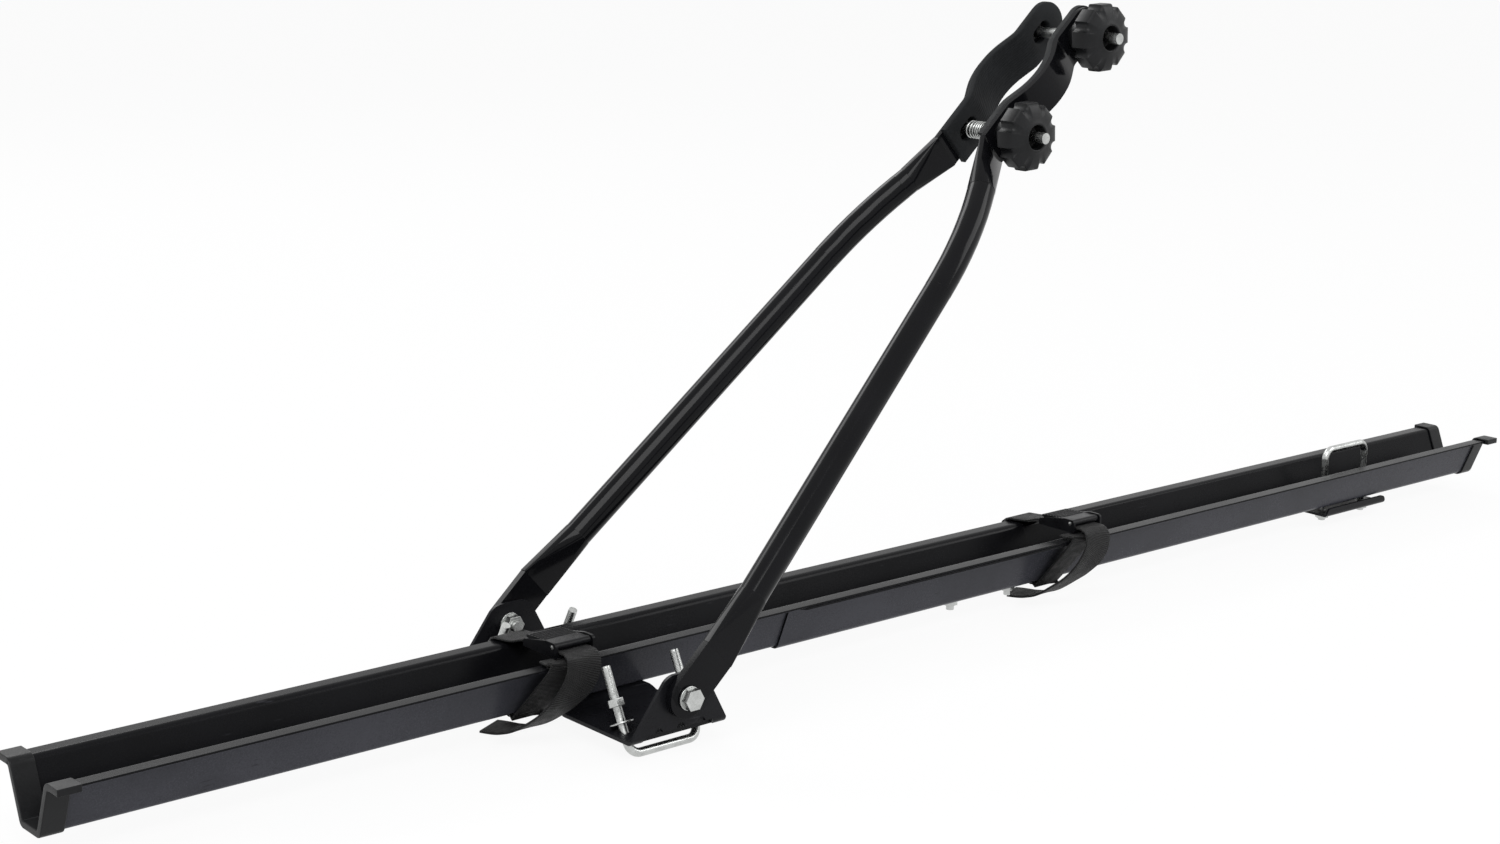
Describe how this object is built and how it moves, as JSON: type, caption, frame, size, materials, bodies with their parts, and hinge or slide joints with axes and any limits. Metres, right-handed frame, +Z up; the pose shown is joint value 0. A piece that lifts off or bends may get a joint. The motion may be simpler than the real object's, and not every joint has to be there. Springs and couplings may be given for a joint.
{
  "type": "roof bike carrier",
  "caption": "Roof bicycle carrier: channel for the wheels on a folding bracket with a hinged upright, padded frame clamp, star knobs, webbing straps and U-bolts for roof bars.",
  "frame": {"origin": "centre of the front roof-bar seat, on the underside of the bracket", "axes": "+X along the channel towards its rear end, +Y across it towards the far side, +Z up"},
  "size_m": [1.404, 0.2188, 0.4611],
  "materials": {
    "black_coated_steel": "satin",
    "black_plastic": "matte",
    "zinc_steel": "satin",
    "black_rubber": "matte",
    "black_webbing": "woven",
    "buckle_steel": "satin"
  },
  "bodies": {
    "base": {"front_channel": "black_coated_steel", "rear_channel": "black_coated_steel", "front_end_cap": "black_plastic", "rear_end_cap": "black_plastic", "base_bracket": "black_coated_steel", "bracket_bolts": "zinc_steel", "bracket_nuts": "zinc_steel", "joint_bolts": "zinc_steel", "joint_nuts": "zinc_steel", "pivot_bolts": "zinc_steel", "pivot_washers": "zinc_steel", "pivot_nuts": "zinc_steel", "near_roof_u_bolt": "zinc_steel", "far_roof_u_bolt": "zinc_steel", "roof_u_bolt_washers": "zinc_steel", "roof_u_bolt_nuts": "zinc_steel", "rear_u_bolt": "zinc_steel", "rear_clamp_plate": "black_coated_steel", "rear_u_bolt_nuts": "zinc_steel", "front_strap": "black_webbing", "rear_strap": "black_webbing", "front_buckle": "buckle_steel", "rear_buckle": "buckle_steel", "front_lever_pin": "zinc_steel", "rear_lever_pin": "zinc_steel"},
    "far_upright": {"far_arm": "black_coated_steel", "far_jaw_pad": "black_rubber", "lower_clamp_bolt": "zinc_steel", "upper_clamp_bolt": "zinc_steel", "clamp_spring": "zinc_steel"},
    "near_upright": {"near_arm": "black_coated_steel", "near_jaw_pad": "black_rubber"},
    "lower_washer_slide": {"lower_knob_washer": "zinc_steel"},
    "upper_washer_slide": {"upper_knob_washer": "zinc_steel"},
    "lower_knob_turn": {"lower_knob": "black_plastic", "lower_knob_insert": "zinc_steel"},
    "upper_knob_turn": {"upper_knob": "black_plastic", "upper_knob_insert": "zinc_steel"},
    "front_lever": {"front_cam_lever": "buckle_steel"},
    "rear_lever": {"rear_cam_lever": "buckle_steel"}
  },
  "joints": [
    {"name": "arm_fold", "type": "hinge", "parent": "base", "child": "far_upright", "pos_m": [0.0019, 0, 0.026], "axis": [0, -1, 0], "range_deg": [-35.5, 47]},
    {"name": "jaw_open", "type": "hinge", "parent": "far_upright", "child": "near_upright", "pos_m": [0.0019, -0.0995, 0.026], "axis": [0.673, 0, -0.7396], "range_deg": [-0.8, 1.1], "deforming": ["clamp_spring"]},
    {"name": "lower_washer_travel", "type": "slide", "parent": "far_upright", "child": "lower_washer_slide", "axis": [0, -1, 0], "range_m": [-0.0069, 0.0094]},
    {"name": "upper_washer_travel", "type": "slide", "parent": "far_upright", "child": "upper_washer_slide", "axis": [0, -1, 0], "range_m": [-0.0083, 0.0114]},
    {"name": "lower_knob_spin", "type": "hinge", "parent": "lower_washer_slide", "child": "lower_knob_turn", "pos_m": [0.36284, -0.041, 0.35443], "axis": [0, -1, 0], "range_deg": [-1965, 2702]},
    {"name": "upper_knob_spin", "type": "hinge", "parent": "upper_washer_slide", "child": "upper_knob_turn", "pos_m": [0.43717, -0.041, 0.42207], "axis": [0, -1, 0], "range_deg": [-2370, 3258]},
    {"name": "front_lever_lift", "type": "hinge", "parent": "base", "child": "front_lever", "pos_m": [-0.034, -0.027, 0.0502], "axis": [1, 0, 0], "range_deg": [0, 35], "stiffness_Nm_per_rad": 0.08, "springref_deg": -14.32},
    {"name": "rear_lever_lift", "type": "hinge", "parent": "base", "child": "rear_lever", "pos_m": [0.459, -0.027, 0.0502], "axis": [1, 0, 0], "range_deg": [0, 35], "stiffness_Nm_per_rad": 0.08, "springref_deg": -14.32}
  ],
  "couplings": [
    {"joint": "lower_washer_travel", "follows": "jaw_open", "m_per_rad": 0.488},
    {"joint": "upper_washer_travel", "follows": "jaw_open", "m_per_rad": 0.5885},
    {"joint": "lower_knob_spin", "follows": "jaw_open", "ratio": 2453},
    {"joint": "upper_knob_spin", "follows": "jaw_open", "ratio": 2958.1}
  ]
}
